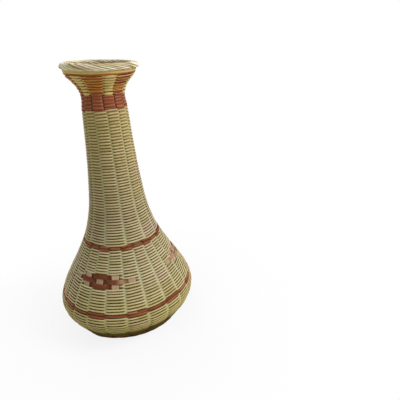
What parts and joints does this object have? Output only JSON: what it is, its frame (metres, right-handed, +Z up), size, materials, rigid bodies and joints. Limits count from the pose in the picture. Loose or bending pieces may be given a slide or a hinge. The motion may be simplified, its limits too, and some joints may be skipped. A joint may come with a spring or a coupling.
{
  "type": "woven flower basket",
  "caption": "Woven bamboo flower vase with a wide low belly, a long slender neck, a flared mouth with a rolled rim, red-brown bands and plaited patches.",
  "frame": {"origin": "on the surface that the vase stands on, under the middle of the foot", "axes": "+Z up along the vase's axis; -Y is the side that faces the picture's camera, with the first plaited patch to the left of it"},
  "size_m": [0.2284, 0.2284, 0.4198],
  "materials": {
    "natural_weave": "round split bamboo weavers, satin, straw to khaki",
    "red_weave": "bamboo weavers and strips dyed red-brown, satin",
    "pale_splint": "flat pale bamboo splints, satin"
  },
  "bodies": {
    "root": {"foot_border": "natural_weave", "foot_red_band": "red_weave", "under_belly_weave": "natural_weave", "lower_belly_weave": "natural_weave", "lower_red_band": "red_weave", "belly_weave": "natural_weave", "shoulder_weave": "natural_weave", "upper_red_band": "red_weave", "neck_root_weave": "natural_weave", "neck_weave": "natural_weave", "collar_weave": "red_weave", "funnel_weave": "natural_weave", "rim_binding": "natural_weave", "rim_border": "natural_weave", "base_weave": "natural_weave", "base_splint_x_1": "pale_splint", "base_splint_x_2": "pale_splint", "base_splint_x_3": "pale_splint", "base_splint_x_4": "pale_splint", "base_splint_x_5": "pale_splint", "base_splint_x_6": "pale_splint", "base_splint_y_1": "pale_splint", "base_splint_y_2": "pale_splint", "base_splint_y_3": "pale_splint", "base_splint_y_4": "pale_splint", "base_splint_y_5": "pale_splint", "base_splint_y_6": "pale_splint", "long_stake_1": "pale_splint", "long_stake_2": "pale_splint", "long_stake_3": "pale_splint", "long_stake_4": "pale_splint", "long_stake_5": "pale_splint", "long_stake_6": "pale_splint", "long_stake_7": "pale_splint", "long_stake_8": "pale_splint", "long_stake_9": "pale_splint", "long_stake_10": "pale_splint", "long_stake_11": "pale_splint", "long_stake_12": "pale_splint", "short_stake_1": "pale_splint", "short_stake_2": "pale_splint", "short_stake_3": "pale_splint", "short_stake_4": "pale_splint", "short_stake_5": "pale_splint", "short_stake_6": "pale_splint", "short_stake_7": "pale_splint", "short_stake_8": "pale_splint", "short_stake_9": "pale_splint", "short_stake_10": "pale_splint", "short_stake_11": "pale_splint", "short_stake_12": "pale_splint", "patch_1_upper_strip": "red_weave", "patch_1_middle_strip": "red_weave", "patch_1_lower_strip": "red_weave", "patch_2_upper_strip": "red_weave", "patch_2_middle_strip": "red_weave", "patch_2_lower_strip": "red_weave", "patch_3_upper_strip": "red_weave", "patch_3_middle_strip": "red_weave", "patch_3_lower_strip": "red_weave"}
  },
  "joints": []
}
